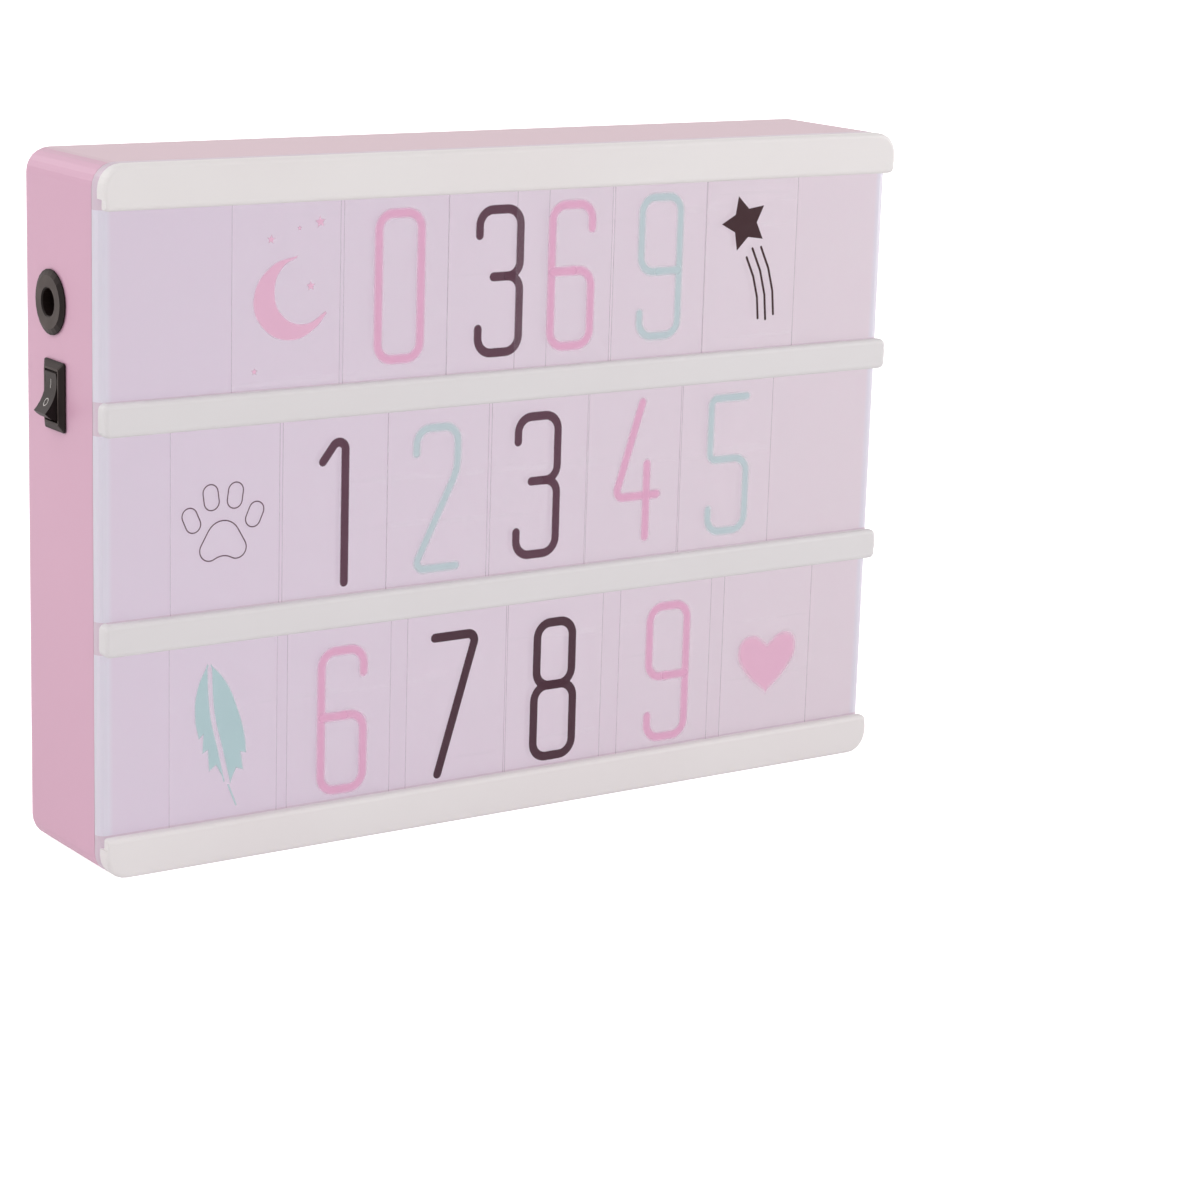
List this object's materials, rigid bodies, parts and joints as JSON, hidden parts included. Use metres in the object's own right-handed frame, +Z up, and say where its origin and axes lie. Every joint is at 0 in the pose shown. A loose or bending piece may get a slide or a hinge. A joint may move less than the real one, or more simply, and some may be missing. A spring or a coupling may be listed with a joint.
{
  "type": "light box",
  "caption": "Table-top cinema light box with a pink moulded case, milky front panel, card rails with sliding clear cards, a side rocker switch, a lead socket and a rear battery door.",
  "frame": {"origin": "on the underside, below the middle of the box's width and of its depth with the rails", "axes": "+Z up, +X to the right seen from the front, +Y to the back, so the card rails face -Y"},
  "size_m": [0.3058, 0.055, 0.22],
  "materials": {
    "pink_abs": "satin moulded",
    "milky_panel": "milky, smooth",
    "rail_white": "satin",
    "card_film": "clear film",
    "black_plastic": "fine texture",
    "inner_white": "matt white",
    "circuit_board": "solder mask",
    "nickel_contacts": "nickel plated",
    "zinc_screws": "zinc plated",
    "red_wire": "PVC sleeve",
    "black_wire": "PVC sleeve"
  },
  "bodies": {
    "case": {"rear_housing": "pink_abs", "diffuser_panel": "milky_panel", "top_rail": "rail_white", "upper_middle_rail": "rail_white", "lower_middle_rail": "rail_white", "bottom_rail": "rail_white", "reflector_plate": "inner_white", "led_strip_top": "inner_white", "led_strip_middle": "inner_white", "led_strip_bottom": "inner_white", "driver_board": "circuit_board", "dc_socket_body": "black_plastic", "dc_socket_nut": "black_plastic", "dc_socket_pin": "nickel_contacts", "switch_body": "black_plastic", "switch_terminal_upper": "nickel_contacts", "switch_terminal_lower": "nickel_contacts", "battery_tray": "inner_white", "battery_terminal_plus": "nickel_contacts", "battery_terminal_minus": "nickel_contacts", "battery_link_1": "nickel_contacts", "battery_link_2": "nickel_contacts", "battery_link_3": "nickel_contacts", "battery_link_4": "nickel_contacts", "battery_link_5": "nickel_contacts", "case_screw_1": "zinc_screws", "case_screw_2": "zinc_screws", "case_screw_3": "zinc_screws", "case_screw_4": "zinc_screws", "reflector_screw_1": "zinc_screws", "reflector_screw_2": "zinc_screws", "reflector_screw_3": "zinc_screws", "reflector_screw_4": "zinc_screws", "tray_screw_1": "zinc_screws", "tray_screw_2": "zinc_screws", "wire_socket": "red_wire", "wire_switch": "red_wire", "wire_battery_plus": "red_wire", "wire_battery_minus": "black_wire", "wire_led": "black_wire"},
    "card_top_1": {"card_top_1": "card_film"},
    "card_top_2": {"card_top_2": "card_film"},
    "card_top_3": {"card_top_3": "card_film"},
    "card_top_4": {"card_top_4": "card_film"},
    "card_top_5": {"card_top_5": "card_film"},
    "card_top_6": {"card_top_6": "card_film"},
    "card_middle_1": {"card_middle_1": "card_film"},
    "card_middle_2": {"card_middle_2": "card_film"},
    "card_middle_3": {"card_middle_3": "card_film"},
    "card_middle_4": {"card_middle_4": "card_film"},
    "card_middle_5": {"card_middle_5": "card_film"},
    "card_middle_6": {"card_middle_6": "card_film"},
    "card_bottom_1": {"card_bottom_1": "card_film"},
    "card_bottom_2": {"card_bottom_2": "card_film"},
    "card_bottom_3": {"card_bottom_3": "card_film"},
    "card_bottom_4": {"card_bottom_4": "card_film"},
    "card_bottom_5": {"card_bottom_5": "card_film"},
    "card_bottom_6": {"card_bottom_6": "card_film"},
    "rocker": {"switch_rocker": "black_plastic"},
    "door": {"battery_door": "pink_abs"}
  },
  "joints": [
    {"name": "card_top_1_slide", "type": "slide", "parent": "case", "child": "card_top_1", "axis": [1, 0, 0], "range_m": [-0.0423, 0.0391]},
    {"name": "card_top_2_slide", "type": "slide", "parent": "case", "child": "card_top_2", "axis": [1, 0, 0], "range_m": [-0.0812, 0.0255]},
    {"name": "card_top_3_slide", "type": "slide", "parent": "case", "child": "card_top_3", "axis": [1, 0, 0], "range_m": [-0.0391, 0.0245]},
    {"name": "card_top_4_slide", "type": "slide", "parent": "case", "child": "card_top_4", "axis": [1, 0, 0], "range_m": [-0.0255, 0.037]},
    {"name": "card_top_5_slide", "type": "slide", "parent": "case", "child": "card_top_5", "axis": [1, 0, 0], "range_m": [-0.0245, 0.0761]},
    {"name": "card_top_6_slide", "type": "slide", "parent": "case", "child": "card_top_6", "axis": [1, 0, 0], "range_m": [-0.037, 0.0384]},
    {"name": "card_middle_1_slide", "type": "slide", "parent": "case", "child": "card_middle_1", "axis": [1, 0, 0], "range_m": [-0.0215, 0.0387]},
    {"name": "card_middle_2_slide", "type": "slide", "parent": "case", "child": "card_middle_2", "axis": [1, 0, 0], "range_m": [-0.0602, 0.0387]},
    {"name": "card_middle_3_slide", "type": "slide", "parent": "case", "child": "card_middle_3", "axis": [1, 0, 0], "range_m": [-0.0387, 0.0384]},
    {"name": "card_middle_4_slide", "type": "slide", "parent": "case", "child": "card_middle_4", "axis": [1, 0, 0], "range_m": [-0.0387, 0.0377]},
    {"name": "card_middle_5_slide", "type": "slide", "parent": "case", "child": "card_middle_5", "axis": [1, 0, 0], "range_m": [-0.0384, 0.0835]},
    {"name": "card_middle_6_slide", "type": "slide", "parent": "case", "child": "card_middle_6", "axis": [1, 0, 0], "range_m": [-0.0377, 0.0455]},
    {"name": "card_bottom_1_slide", "type": "slide", "parent": "case", "child": "card_bottom_1", "axis": [1, 0, 0], "range_m": [-0.0212, 0.0476]},
    {"name": "card_bottom_2_slide", "type": "slide", "parent": "case", "child": "card_bottom_2", "axis": [1, 0, 0], "range_m": [-0.0624, 0.0445]},
    {"name": "card_bottom_3_slide", "type": "slide", "parent": "case", "child": "card_bottom_3", "axis": [1, 0, 0], "range_m": [-0.0476, 0.0455]},
    {"name": "card_bottom_4_slide", "type": "slide", "parent": "case", "child": "card_bottom_4", "axis": [1, 0, 0], "range_m": [-0.0445, 0.0504]},
    {"name": "card_bottom_5_slide", "type": "slide", "parent": "case", "child": "card_bottom_5", "axis": [1, 0, 0], "range_m": [-0.0455, 0.0678]},
    {"name": "card_bottom_6_slide", "type": "slide", "parent": "case", "child": "card_bottom_6", "axis": [1, 0, 0], "range_m": [-0.0504, 0.0248]},
    {"name": "rocker_tip", "type": "hinge", "parent": "case", "child": "rocker", "pos_m": [-0.1498, 0.005, 0.14663], "axis": [0, -1, 0], "range_deg": [0, 34]},
    {"name": "door_swing", "type": "hinge", "parent": "case", "child": "door", "pos_m": [0, 0.0275, 0.05905], "axis": [-1, 0, 0], "range_deg": [0, 70]}
  ]
}
